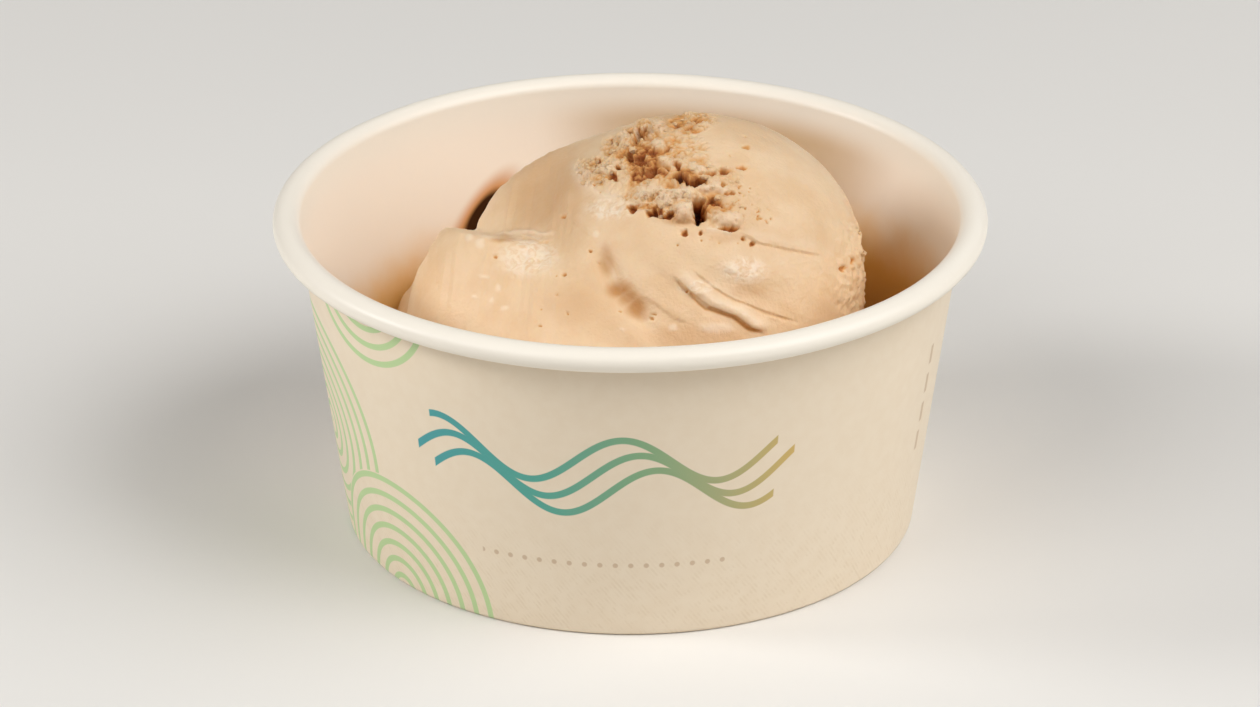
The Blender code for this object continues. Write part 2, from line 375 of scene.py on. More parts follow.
def bothSides(path, thickness):
    sides = ([], [])
    for i, point in enumerate(path):
        along = (path[min(i + 1, len(path) - 1)] - path[max(i - 1, 0)]).normalized()
        across = Vector((along.y, -along.x)) * thickness / 2
        sides[0].append(point + across)
        sides[1].append(point - across)
    return sides


def spinBoard(sides, closed):
    # the outline of the board, spun once round the cup; side 1 of the outline gets material 1
    shape = bmesh.new()
    outline = sides[0] + sides[1][::-1]
    dots = [shape.verts.new((p.x * mm, 0.0, p.y * mm)) for p in outline]
    edges = [shape.edges.new(pair) for pair in zip(dots, dots[1:])]
    if closed:
        edges.append(shape.edges.new((dots[-1], dots[0])))
    bmesh.ops.spin(
        shape, geom=dots + edges, cent=(0, 0, 0), axis=(0, 0, 1), dvec=(0, 0, 0),
        angle=math.tau, steps=cup["turnSteps"], use_merge=True, use_duplicate=False,
    )
    bmesh.ops.remove_doubles(shape, verts=shape.verts, dist=1e-6)
    bmesh.ops.recalc_face_normals(shape, faces=shape.faces)
    return shape


def finishPiece(name, shape, materials, slotName, *nodes):
    for face in shape.faces:
        face.smooth = True
    mesh = bpy.data.meshes.new(name)
    shape.to_mesh(mesh)
    shape.free()
    for material in materials:
        mesh.materials.append(material)
    piece = bpy.data.objects.new(name, mesh)
    bpy.context.scene.collection.objects.link(piece)
    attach(piece, "root")
    if nodes:
        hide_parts(*nodes)
    return piece


def buildWall():
    half = cup["board"] / 2
    curlRadii = (cup["curlWidth"] / 2 - half, cup["curlHeight"] / 2 - half)
    curl = arc(curlCentre, curlRadii, cup["curlEnd"], 180.0, cup["curlSteps"])
    hemInset = cup["board"] + cup["gap"] + cup["baseBoard"] + cup["gap"] + half
    bend = cup["hemBend"]
    foot = arc((wallRadius(bend, half) - bend, half + bend), (bend, bend), 0.0, -90.0, 6)
    hem = arc((wallRadius(bend, hemInset) + bend, half + bend), (bend, bend), -90.0, -180.0, 6)
    hemEnd = Vector((wallRadius(cup["hemTop"], hemInset), cup["hemTop"]))
    path = curl + line(curl[-1], foot[0], cup["wallRows"]) + foot + hem + line(hem[-1], hemEnd, 3) + [hemEnd]
    sides = bothSides(path, cup["board"])
    shape = spinBoard(sides, True)

    # the outer face of the wall, and the hem that it turns into, carry the print
    for face in shape.faces:
        middle = face.calc_center_median() / mm
        radius = math.hypot(middle.x, middle.y)
        centre = wallRadius(middle.z, half)
        below = middle.z < curlCentre.y - 0.2
        if middle.z < 1.0:
            outward = radius - centre > 0.02 or middle.z < half
            inHem = radius < wallRadius(middle.z, hemInset)
            face.material_index = 1 if outward or inHem else 0
        elif below and radius > centre:
            toCurl = math.hypot((radius - curlCentre.x) / (cup["curlWidth"] / 2 - 0.1),
                                (middle.z - curlCentre.y) / (cup["curlHeight"] / 2 - 0.1))
            onCurl = toCurl > 0.99 and radius > wallRadius(middle.z) + 0.08
            face.material_index = 0 if onCurl else 1
        elif below and radius < wallRadius(middle.z, hemInset):
            face.material_index = 1

    # side seam: the blank's outer edge laps over its inner one by the seam's width
    seam = math.radians(cup["seamPlace"])
    nearSeam = [f for f in shape.faces if f.calc_center_median().y > 0.03 and f.calc_center_median().x > -0.005]
    for turn in (0.0, 0.002):
        across = Vector((math.cos(seam + turn), math.sin(seam + turn), 0.0))
        parts = nearSeam + list({e for f in nearSeam for e in f.edges}) + list({v for f in nearSeam for v in f.verts})
        cut = bmesh.ops.bisect_plane(shape, geom=parts, dist=1e-7, plane_co=(0, 0, 0), plane_no=across)
        nearSeam = [g for g in cut["geom"] if isinstance(g, bmesh.types.BMFace)]
    width = cup["seamWidth"] / rimRadius
    for vertex in shape.verts:
        x, y, z = vertex.co / mm
        radius = math.hypot(x, y)
        around = math.atan2(x, -y)
        over = seam + 0.001 - around
        if over < 0.0 or over > width * 1.5 or y < 0.0:
            continue
        fade = 1.0 if over < width else 1.0 - (over - width) / (width * 0.5)
        onOutside = z < curlCentre.y - 0.4 and radius > wallRadius(z, half) and radius < wallRadius(z) + 0.3
        if onOutside and z > 0.3:
            vertex.co.x *= 1 + cup["seamStep"] * fade / radius
            vertex.co.y *= 1 + cup["seamStep"] * fade / radius
    # the roll of the rim is never quite even: it dips by a few hundredths of a millimetre
    for vertex in shape.verts:
        if vertex.co.z / mm > curlCentre.y - cup["curlHeight"] / 2:
            around = math.atan2(vertex.co.x, -vertex.co.y)
            spot = Vector((math.cos(around), math.sin(around), 0.0)) * 3.0
            vertex.co.z -= (0.06 + 0.06 * noise.noise(spot)) * mm
    materials = [linerBoard(), printedBoard()]
    return finishPiece("cup_wall_board", shape, materials, "printed_paper", "cup_wall")


def buildBase():
    half = cup["baseBoard"] / 2
    inset = cup["board"] + cup["gap"] + half
    bend = cup["skirtBend"]
    corner = wallRadius(baseLevel, inset)
    turnDown = arc((corner - bend, baseLevel - bend), (bend, bend), 90.0, 0.0, 7)
    skirtFoot = cup["board"] + cup["gap"]
    skirtEnd = Vector((wallRadius(skirtFoot, inset), skirtFoot))
    centre = Vector((0.0, baseLevel))
    path = [centre] + line(centre, turnDown[0], 8) + turnDown + line(turnDown[-1], skirtEnd, 2) + [skirtEnd]
    shape = spinBoard(bothSides(path, cup["baseBoard"]), False)
    return finishPiece("cup_base_board", shape, [baseBoard()], "base_paper", "cup_base")


buildWall()
buildBase()
print("paper cup built")

# ---- gelato ----

mound = {
    # lobes that the spatula packed together: (centre, radii)
    "heart": (0.0, 1.0, 24.0),
    "belly": ((-1.0, -6.0, 24.0), (27.0, 26.0, 21.5)),
    "foot": ((0.0, 0.0, 13.0), (31.5, 31.5, 13.0)),
    "heel": ((-14.0, 17.0, 18.0), (18.5, 18.0, 12.5)),
    "back": ((2.0, 11.0, 21.0), (28.5, 25.0, 19.0)),
    "shoulder": ((-17.0, -5.4, 27.8), (13.1, 14.9, 17.9)),
    "dome": ((8.9, 0.3, 34.2), (22.6, 25.1, 20.7)),
    "crown": ((0.1, 5.5, 33.4), (21.8, 19.8, 16.5)),
    # flat strokes of the spatula: (facing, through)
    "shelf": ((0.2, 0.38, 0.9), (-21.6, 0.0, 40.6)),
    "facet": ((-0.464, -0.19, 0.865), (-8.0, 6.0, 47.7)),
    "wallClearance": 0.4,
    "floorClearance": 0.3,
    "undulation": 0.35,
    "seed": (3.1, 7.4, 1.9),
}
# places on the face are (across, up) in millimetres, as the person served sees it
face = {
    "span": 655.0,
    "lift": 20.26,
    "folds": (
        # path, step, ridge, groove, overhang, softness, shade
        (((5.4, 30.9), (7.8, 28.3), (10.3, 26.4), (13.8, 25.1), (15.8, 23.6), (18.4, 22.6)),
         0.5, 0.36, 0.16, 0.22, 2.6, 0.4),
        (((7.6, 31.6), (11.1, 28.8), (13.5, 27.4), (17.8, 25.8), (22.6, 24.2)), 0.2, 0.0, 0.06, 0.05, 2.0, 0.22),
        (((14.2, 36.4), (17.0, 34.8), (21.0, 33.9), (25.5, 33.0)), 0.26, 0.12, 0.05, 0.05, 2.4, 0.16),
        (((1.4, 28.0), (3.4, 26.8), (5.1, 25.4), (7.6, 24.0)), 0.2, 0.05, 0.04, 0.05, 1.4, 0.12),
        (((-14.6, 35.9), (-13.0, 35.6), (-11.6, 34.8), (-10.2, 35.0)), 0.24, 0.08, 0.1, 0.1, 1.2, 0.24),
        (((-7.9, 38.0), (-6.4, 37.0), (-5.0, 35.8)), 0.16, 0.05, 0.05, 0.05, 1.2, 0.12),
        (((-17.9, 33.4), (-17.0, 34.4), (-15.2, 34.9), (-13.2, 34.9)), 0.2, 0.0, 0.06, 0.05, 1.0, 0.12),
    ),
    "furrows": (
        # path, depth, half width
        (((-4.9, 37.0), (-3.5, 32.9), (-1.5, 28.7), (1.2, 25.7), (3.6, 21.4)), 0.95, 1.25),
        (((-8.2, 46.0), (-8.6, 42.0), (-7.6, 38.4)), -0.22, 0.9),
        (((-10.4, 46.0), (-10.8, 42.0), (-10.2, 38.5)), 0.22, 0.8),
        (((-15.5, 31.5), (-9.0, 29.4), (-3.0, 26.0)), -0.3, 2.6),
        (((8.0, 34.6), (15.0, 31.0), (22.0, 28.6)), -0.3, 1.8),
    ),
    # lips: path, height, half width, overhang
    "lips": (
        (((0.9, 40.8), (3.2, 41.7), (6.0, 41.6), (8.6, 41.0)), 0.8, 0.75, 0.8),
        (((9.4, 41.6), (11.3, 42.2), (12.6, 41.2)), 0.5, 0.6, 0.4),
        (((9.6, 36.4), (11.4, 36.5), (13.6, 35.8)), 0.3, 0.4, 0.2),
        (((-7.4, 46.0), (-6.6, 42.8), (-4.2, 41.0), (-0.5, 40.3)), 0.3, 0.8, 0.2),
        (((-21.4, 36.9), (-19.6, 35.9), (-18.4, 35.4), (-16.4, 35.9), (-13.3, 36.3), (-11.4, 35.8), (-9.2, 36.1)), 0.36, 0.3, 0.2),
    ),
    # torn ground: (across, up), (half width, half height), how rough, how brown
    "torn": (
        ((2.2, 45.2), (2.9, 2.6), 1.0, 0.9),
        ((7.4, 43.2), (3.2, 1.1), 0.9, 1.0),
        ((1.4, 48.6), (2.6, 1.7), 1.0, 0.35),
        ((5.0, 46.8), (2.0, 1.8), 0.7, 0.4),
        ((11.4, 43.2), (2.8, 1.3), 0.55, 0.15),
        ((3.2, 40.9), (4.6, 1.1), 0.85, 0.05),
        ((2.5, 38.9), (3.7, 0.7), 0.8, 0.9),
        ((7.5, 38.7), (3.0, 1.8), 0.5, 0.15),
        ((11.0, 39.6), (2.0, 1.8), 0.8, 0.7),
        ((6.6, 50.7), (3.8, 1.2), 0.95, 0.25),
        ((-4.9, 43.9), (2.6, 2.0), 0.75, 0.2),
        ((-1.4, 47.2), (2.0, 1.7), 0.85, 0.2),
        ((15.6, 39.4), (3.2, 2.8), 0.2, 0.1),
        ((4.2, 45.0), (6.6, 5.0), 0.6, 0.05),
        ((8.2, 39.8), (6.0, 2.8), 0.55, 0.05),
    ),
    # lumps of the torn edge: (across, up), (half width, half height), height
    "lumps": (
        ((7.0, 38.8), (1.35, 1.3), 1.1),
        ((13.1, 37.9), (1.6, 0.9), 0.7),
        ((11.3, 38.2), (0.8, 0.6), 0.4),
        ((4.4, 40.5), (1.2, 0.8), 0.55),
        ((1.8, 41.0), (1.1, 0.6), 0.4),
        ((6.8, 40.9), (1.1, 0.7), 0.5),
        ((3.9, 50.0), (0.9, 0.8), 0.5),
        ((-0.6, 48.5), (0.9, 0.7), 0.5),
        ((0.8, 49.3), (0.35, 0.8), 0.6),
        ((2.7, 49.4), (0.5, 0.8), 0.4),
        ((4.6, 45.4), (1.2, 0.8), 0.5),
        ((3.6, 47.9), (0.9, 0.6), 0.4),
        ((-3.3, 44.6), (0.9, 0.6), 0.35),
        ((-5.9, 43.6), (1.0, 0.7), 0.3),
        ((8.8, 44.6), (1.1, 0.6), 0.4),
        ((9.8, 41.9), (1.0, 0.5), 0.4),
    ),
    # pits: (across, up), (half width, half height), depth
    "pits": (
        ((1.3, 49.1), (1.4, 0.8), 2.0),
        ((-2.45, 48.1), (0.5, 0.4), 0.7),
        ((-4.4, 45.5), (0.5, 0.42), 0.7),
        ((-2.5, 43.5), (0.7, 0.55), 0.9),
        ((-1.5, 44.8), (0.5, 0.35), 1.0),
        ((-0.3, 46.4), (0.9, 0.55), 1.0),
        ((1.0, 45.6), (1.0, 0.8), 0.9),
        ((2.4, 44.0), (1.1, 0.9), 0.8),
        ((5.1, 47.4), (0.6, 0.4), 0.8),
        ((6.1, 45.1), (0.6, 0.6), 0.9),
        ((6.6, 43.3), (1.2, 0.6), 1.6),
        ((8.6, 42.9), (1.5, 0.5), 1.4),
        ((10.2, 43.9), (1.0, 0.3), 0.8),
        ((12.4, 44.4), (0.8, 0.42), 0.8),
        ((14.5, 44.7), (0.7, 0.3), 0.7),
        ((12.4, 42.6), (0.5, 0.3), 0.4),
        ((15.2, 47.2), (0.6, 0.28), 0.25),
        ((13.2, 41.2), (0.35, 0.35), 0.5),
        ((0.3, 39.2), (0.6, 0.4), 0.9),
        ((2.9, 38.7), (0.9, 0.5), 1.3),
        ((4.9, 38.3), (1.1, 0.45), 1.2),
        ((9.0, 39.0), (0.85, 1.7), 3.0),
        ((11.0, 40.1), (1.1, 0.6), 0.9),
        ((12.9, 36.7), (1.4, 0.3), 0.9),
        ((7.0, 36.0), (0.55, 0.4), 0.8),
        ((9.2, 36.0), (0.36, 0.32), 0.6),
        ((15.0, 35.4), (0.35, 0.26), 0.5),
        ((16.2, 34.7), (0.4, 0.26), 0.6),
        ((-8.8, 38.2), (0.3, 0.26), 0.5),
        ((-5.15, 33.8), (0.25, 0.22), 0.45),
        ((-8.5, 30.6), (0.3, 0.26), 0.45),
        ((-8.15, 25.5), (0.22, 0.2), 0.35),
        ((-11.9, 24.1), (0.2, 0.18), 0.3),
        ((-17.6, 33.0), (0.25, 0.2), 0.35),
        ((-1.25, 25.9), (0.22, 0.18), 0.3),
        ((3.25, 25.5), (0.36, 0.18), 0.4),
        ((2.9, 24.9), (0.3, 0.18), 0.35),
        ((28.2, 31.4), (0.5, 0.4), 0.5),
        ((29.3, 32.4), (0.4, 0.4), 0.5),
    ),
    # fields of small pores: (across, up), (half width, half height), how many
    "pores": (
        ((16.0, 38.9), (2.6, 1.5), 20),
        ((15.1, 41.4), (1.2, 0.8), 6),
        ((11.6, 35.4), (2.6, 0.7), 7),
        ((-4.9, 43.4), (2.2, 2.2), 14),
        ((3.6, 40.2), (3.0, 0.6), 6),
        ((17.5, 46.5), (5.0, 3.0), 5),
        ((-2.0, 29.5), (11.0, 6.0), 8),
    ),
    # pale flecks of frozen cream, and last a wide painted light patch below the main fold: (across, up), (half width,
    # half height)
    "flecksAndPaintedLight": (
        ((-21.1, 35.5), (0.55, 0.5)), ((-19.7, 34.7), (0.6, 0.75)), ((-20.4, 27.7), (0.36, 0.32)),
        ((-18.1, 27.2), (0.34, 0.32)), ((-16.4, 26.2), (0.5, 0.45)), ((-17.3, 28.8), (0.4, 0.55)),
        ((-19.1, 30.4), (0.7, 0.25)), ((-4.4, 36.0), (0.45, 0.4)), ((5.6, 23.6), (0.6, 0.4)),
        ((-1.0, 23.4), (0.4, 0.3)), ((11.4, 23.6), (2.4, 0.7)),
    ),
    # wet, finely wrinkled places, less rough and painted pale as a highlight: (across, up), (half width, half height)
    "wetAndPaintedHighlight": (((-13.4, 32.9), (4.2, 2.7)), ((14.8, 31.2), (3.2, 1.8)), ((-2.6, 39.2), (3.4, 1.5)), ((8.8, 28.9), (2.4, 1.0))),
    # browner places: painted shade in the furrow, on the facet and below the lips and creases, and a browner body on
    # the torn crest: (across, up), (half width, half height), share
    "brownAndPaintedShade": (
        ((-1.4, 28.9), (1.6, 1.1), 1.0),
        ((0.9, 26.2), (1.3, 1.3), 1.0),
        ((-0.3, 27.6), (1.3, 1.2), 0.85),
        ((-8.6, 27.0), (4.6, 2.2), 0.22),
        ((-3.2, 32.6), (0.8, 1.8), 0.6),
        ((15.0, 28.5), (2.2, 0.9), 0.3),
        ((-11.2, 42.6), (5.0, 6.2), 0.44),
        ((-16.4, 35.3), (1.9, 0.5), 0.7),
        ((13.4, 35.6), (2.2, 0.5), 0.3),
        ((6.0, 50.6), (3.2, 1.4), 0.4),
        ((1.6, 44.8), (1.9, 2.0), 0.6),
        ((6.4, 37.7), (2.2, 0.7), 0.7),
        ((11.2, 39.6), (1.6, 1.3), 0.6),
        ((8.5, 22.5), (9.0, 1.6), 0.25),
    ),
    # strokes of the spatula on the right and on the facet: direction, length, width, depth
    "strokes": (((0.83, -0.56), 13.0, 1.5, 0.12), ((0.12, 1.0), 9.0, 0.75, 0.17)),
}
eye = np.array(seat["from"])
ahead, rightward, upward = (np.array(seatTurn @ Vector(axis)) for axis in ((0, 0, -1), (1, 0, 0), (0, 1, 0)))
heart = np.array(mound["heart"])
seed = Vector(mound["seed"])


def eased(value, low=0.0, high=1.0):
    value = np.clip((value - low) / (high - low), 0.0, 1.0)
    return value * value * (3.0 - 2.0 * value)


def softMax(a, b, blend):
    near = np.clip(blend - np.abs(a - b), 0.0, None) / blend
    return np.maximum(a, b) + near * near * blend / 4


def softMin(a, b, blend):
    return -softMax(-a, -b, blend)


def lobeReach(directions, lobe):
    centre, radii = np.array(lobe)
    start = (heart - centre) / radii
    step = directions / radii
    a = (step * step).sum(axis=1)
    b = (step * start).sum(axis=1)
    root = b * b - a * ((start * start).sum() - 1.0)
    return np.where(root > 0.0, (np.sqrt(np.maximum(root, 0.0)) - b) / a, -50.0)


def cutReach(directions, cut):
    facing, through = np.array(cut)
    toward = directions @ facing
    depth = (through - heart) @ facing
    return np.where(toward > 0.001, depth / np.maximum(toward, 0.001), 1000.0)


def moundReach(directions):
    low = softMin(lobeReach(directions, mound["shoulder"]), cutReach(directions, mound["shelf"]), 1.5)
    for name, blend in (("belly", 4.0), ("foot", 4.0), ("heel", 5.0), ("back", 5.0)):
        low = softMax(low, lobeReach(directions, mound[name]), blend)
    crown = softMin(lobeReach(directions, mound["crown"]), cutReach(directions, mound["facet"]), 1.5)
    high = softMax(lobeReach(directions, mound["dome"]), crown, 3.0)
    seam = eased(heart[0] + directions[:, 0] * high, -14.0, -4.0)
    return softMax(low, high, 1.2 + 5.5 * seam)


def onFace(points):
    # where a point of the mound appears on the face
    fromEye = points - eye
    depth = fromEye @ ahead
    return fromEye @ rightward * face["span"] / depth, fromEye @ upward * face["span"] / depth + face["lift"]


def oval(across, up, centre, radii):
    return np.hypot((across - centre[0]) / radii[0], (up - centre[1]) / radii[1])


def alongPath(across, up, path):
    # share of the path's length, and distance from it, positive above it
    nearest = np.full(len(across), 1e9)
    share, side, run = np.zeros(len(across)), np.zeros(len(across)), 0.0
    total = sum(math.dist(a, b) for a, b in zip(path, path[1:]))
    for start, end in zip(path, path[1:]):
        span = np.array(end) - np.array(start)
        length = math.dist(start, end)
        offset = np.stack([across, up], axis=1) - np.array(start)
        spot = np.clip(offset @ span / length**2, 0.0, 1.0)
        gap = offset - spot[:, None] * span
        distance = np.hypot(gap[:, 0], gap[:, 1])
        above = np.where(span[0] * offset[:, 1] - span[1] * offset[:, 0] > 0.0, 1.0, -1.0)
        nearer = distance < nearest
        share = np.where(nearer, (run + spot * length) / total, share)
        side = np.where(nearer, above * distance, side)
        nearest = np.where(nearer, distance, nearest)
        run += length
    return share, side


def ends(share, soft=0.16):
    return eased(share, 0.0, soft) * eased(1.0 - share, 0.0, soft)


def tornShare(across, up):
    share = np.zeros(len(across))
    brown = np.zeros(len(across))
    uneven = np.array([noise.noise_vector(Vector((a, b, 0.0)) / 2.2)[:] for a, b in zip(across, up)])
    for centre, radii, rough, stain in face["torn"]:
        spread = eased(1.35 - oval(across + uneven[:, 0] * 1.3, up + uneven[:, 1] * 1.3, centre, radii), 0.0, 0.6)
        share = np.maximum(share, rough * spread)
        brown = np.maximum(brown, stain * spread)
    return share, brown


def keepInside(points):
    # rests on the base and stays clear of the wall
    points[:, 2] = np.maximum(points[:, 2], baseHigh.z + mound["floorClearance"])
    radius = np.hypot(points[:, 0], points[:, 1])
    inside = cup["footRadius"] - cup["board"] * 1.01 + wallTaper * points[:, 2] - mound["wallClearance"]
    points[:, :2] *= (softMin(radius, inside, 1.2) / np.maximum(radius, 0.001))[:, None]
    return points


def vertexDirections(shape):
    return np.array([vertex.co.normalized() for vertex in shape.verts])


def rightEdge(across, up):
    return eased(across, 26.0, 29.0) * eased(up, 24.0, 27.0) * eased(39.5 - up, 0.0, 3.0)


def wantedEdge(points, normals):
    # how fine the mesh has to be at each vertex
    across, up = onFace(points)
    facing = -(normals @ ahead)
    wanted = np.where((facing > 0.02) & (up > 19.0), 0.3, 0.62)
    wanted = np.where(points[:, 2] < 18.0, 1.3, wanted)
    fine = tornShare(across, up)[0] > 0.05
    for path, *rest in face["folds"][:3] + face["lips"]:
        fine |= np.abs(alongPath(across, up, path)[1]) < 0.7
    wanted = np.where(rightEdge(across, up) > 0.1, 0.26, wanted)
    return np.where(fine & (facing > 0.0), 0.17, wanted)


def placeVertices(shape, points):
    for vertex, point in zip(shape.verts, points):
        vertex.co = Vector(point)
    shape.normal_update()
    return np.array([vertex.normal[:] for vertex in shape.verts])


def refinedMound():
    # an icosphere, split where the surface needs it
    shape = bmesh.new()
    bmesh.ops.create_icosphere(shape, subdivisions=6, radius=1.0)
    for step in range(3):
        directions = vertexDirections(shape)
        points = heart + directions * moundReach(directions)[:, None]
        wanted = wantedEdge(points, placeVertices(shape, points))
        ends = np.array([[v.index for v in edge.verts] for edge in shape.edges])
        length = np.linalg.norm(points[ends[:, 0]] - points[ends[:, 1]], axis=1)
        tooLong = length > 1.3 * wanted[ends].min(axis=1)
        placeVertices(shape, directions)
        long = [edge for edge, split in zip(shape.edges, tooLong) if split]
        bmesh.ops.subdivide_edges(shape, edges=long, cuts=1, use_grid_fill=True)
        bmesh.ops.triangulate(shape, faces=[f for f in shape.faces if len(f.verts) > 3])
        shape.verts.index_update()
    return shape


def broadMarks(points, across, up, facing):
    relief = np.array([noise.noise((Vector(p) + seed) / 11.0) for p in points]) * mound["undulation"]
    for path, step, ridge, groove, overhang, soft, shade in face["folds"]:
        share, side = alongPath(across, up, path)
        stepped = np.where(side > 0.0, np.exp(-side / soft), -np.exp(side / soft))
        relief += facing * ends(share) * step / 2 * stepped
        relief += facing * ends(share) * ridge * np.exp(-(((side - 0.8) / 0.65) ** 2))
    for path, depth, width in face["furrows"]:
        share, side = alongPath(across, up, path)
        relief -= facing * ends(share, 0.3) * depth * np.exp(-((side / width) ** 2))
    for path, height, width, overhang in face["lips"]:
        share, side = alongPath(across, up, path)
        relief += facing * ends(share) * height * np.exp(-(((side - 0.2) / width) ** 2))
    return relief


def fineMarks(points, across, up, facing, torn):
    # grooves, pits and flecks; returns relief, painted shade in grooves and pits, how pale each place is (flecks,
    # lumps, and painted highlight on ridges and lips) and how much browning and painted shade it gets
    relief, paintedShade, paleAndPaintedHighlight, brownAndPaintedShade = (np.zeros(len(points)) for layer in range(4))
    shift = np.array([noise.noise_vector((Vector(p) + seed) / 0.8)[:] for p in points])[:, (0, 2)]
    wide = np.array([noise.noise_vector((Vector(p) + seed) / 3.0)[:] for p in points])[:, (0, 2)]
    for path, step, ridge, groove, overhang, soft, shade in face["folds"]:
        share, side = alongPath(across + 0.4 * wide[:, 0], up + 0.4 * wide[:, 1], path)
        cut = facing * ends(share) * np.exp(-(((side + 0.12) / 0.24) ** 2))
        relief -= groove * cut
        under = facing * ends(share) * np.exp(-(((side + 0.25) / 0.45) ** 2))
        # painted shade in the groove under each fold
        paintedShade = np.maximum(paintedShade, shade * (0.65 * cut + 0.35 * under) * (0.55 + 0.45 * share))
        # painted highlight on the ridge above each fold
        paleAndPaintedHighlight = np.maximum(paleAndPaintedHighlight, facing * ends(share) * min(0.6, 2 * ridge) * np.exp(-(((side - 0.9) / 0.7) ** 2)))
    for path, height, width, overhang in face["lips"]:
        share, side = alongPath(across, up, path)
        # painted highlight along each lip
        paleAndPaintedHighlight = np.maximum(paleAndPaintedHighlight, facing * ends(share) * np.exp(-(((side - 0.1) / width) ** 2)) * 0.5)
    warpAcross = across + shift[:, 0] * (0.25 + 0.6 * torn)
    warpUp = up + shift[:, 1] * (0.25 + 0.6 * torn)
    for centre, radii, depth in face["pits"]:
        hole = facing * eased(1.25 - oval(warpAcross, warpUp, centre, radii), 0.0, 0.5)
        relief = np.minimum(relief, -depth * hole)
        # painted shade in the pits
        paintedShade = np.maximum(paintedShade, hole * min(1.0, 0.3 + depth * 0.4))
    chance = np.random.default_rng(11)
    for centre, radii, count in face["pores"]:
        for pore in range(count):
            spot = np.array(centre) + chance.uniform(-1.0, 1.0, 2) * np.array(radii)
            size = chance.uniform(0.1, 0.22)
            hole = facing * eased(1.3 - oval(warpAcross, warpUp, spot, (size, size * 0.8)), 0.0, 0.7)
            relief = np.minimum(relief, -0.3 * hole)
            # painted shade in the pores
            paintedShade = np.maximum(paintedShade, hole * chance.uniform(0.25, 0.6))
    for centre, radii, height in face["lumps"]:
        spread = oval(across + 0.25 * shift[:, 0], up + 0.25 * shift[:, 1], centre, radii)
        lump = facing * np.clip(1.0 - (spread / 1.25) ** 2, 0.0, 1.0) ** 0.8
        relief += height * lump
        # less painted shade on the lumps
        paintedShade *= 1.0 - eased(lump, 0.2, 0.7) * 0.8
        paleAndPaintedHighlight = np.maximum(paleAndPaintedHighlight, 0.38 * lump)
    # pale flecks; the last, wide one is a painted light patch below the main fold
    for centre, radii in face["flecksAndPaintedLight"]:
        fleck = facing * eased(1.4 - oval(warpAcross, warpUp, centre, radii), 0.0, 1.0)
        relief += 0.08 * fleck
        paleAndPaintedHighlight = np.maximum(paleAndPaintedHighlight, 0.7 * fleck)
    # painted shade in the furrow, on the facet and below lips and creases, and browner body on the torn crest
    for centre, radii, share in face["brownAndPaintedShade"]:
        spread = oval(across + 0.6 * wide[:, 0], up + 0.6 * wide[:, 1], centre, radii)
        brownAndPaintedShade = np.maximum(brownAndPaintedShade, facing * share * eased(1.6 - spread, 0.0, 1.3))
    return relief, paintedShade, paleAndPaintedHighlight, brownAndPaintedShade


def crumble(points, torn, brown, side):
    # torn ground: uneven grains from 0.4 to 1.5 mm with ragged hollows between them; also the painted shade in the gaps
    # between the grains, stronger where the ground is brown
    relief = np.zeros(len(points))
    gapShade = np.zeros(len(points))
    for i in np.flatnonzero((torn > 0.01) | (side > 0.01)):
        spot = Vector(points[i]) + seed
        spot += 0.7 * noise.noise_vector(spot / 1.4) + 0.25 * noise.noise_vector(spot / 0.5)
        near, second = noise.voronoi(spot / 1.5)[0][:2]
        fineNear, fineSecond = noise.voronoi(spot / 0.75)[0][:2]
        gap = min(1.0, (second - near) / 0.4)
        fineGap = min(1.0, (fineSecond - fineNear) / 0.5)
        ragged = noise.noise(spot / 2.1) + 0.5 * noise.noise(spot / 0.9)
        depth = torn[i] * (0.8 + 0.2 * brown[i])
        relief[i] = depth * (0.4 * gap + 0.18 * fineGap - 0.4 + 0.8 * min(ragged, 0.15)) + side[i] * (
            0.3 * gap + 0.12 * fineGap - 0.25 + 0.4 * ragged
        )
        # painted shade in the gaps between grains
        gapShade[i] = (1.0 - gap) * 0.4 + (1.0 - fineGap) * 0.25 + max(0.0, -ragged) * 0.8
        gapShade[i] = gapShade[i] * (0.5 + 0.5 * brown[i]) + 0.05 * brown[i]
    return relief, gapShade * torn


def skin(points, across, up, facing, wetAndPaintedHighlight):
    # strokes of the spatula, pimples on the right and wrinkles in the wet places
    relief = np.zeros(len(points))
    share = eased(across, -9.5, -6.0)
    for (direction, length, width, depth), weight in zip(face["strokes"], (share, 1.0 - share)):
        run = (across * direction[0] + up * direction[1]) / length
        beside = (up * direction[0] - across * direction[1]) / width
        for i, (a, b, z) in enumerate(zip(run, beside, points[:, 1] / 14.0)):
            relief[i] += weight[i] * depth * noise.noise(Vector((a, b, z)))
    for i, point in enumerate(points):
        spot = Vector(point) + seed
        relief[i] += 0.1 * noise.noise(spot / 4.5) + 0.02 * noise.noise(spot / 0.9)
        if wetAndPaintedHighlight[i] > 0.01:
            relief[i] += wetAndPaintedHighlight[i] * 0.17 * noise.noise(Vector((spot.x / 1.3, spot.y / 1.3, spot.z / 0.6)))
        if across[i] > 10.0 and facing[i] > 0.0:
            rough = min(1.0, (across[i] - 10.0) / 10.0)
            relief[i] += rough * 0.055 * noise.noise(spot / 0.6)
    return relief


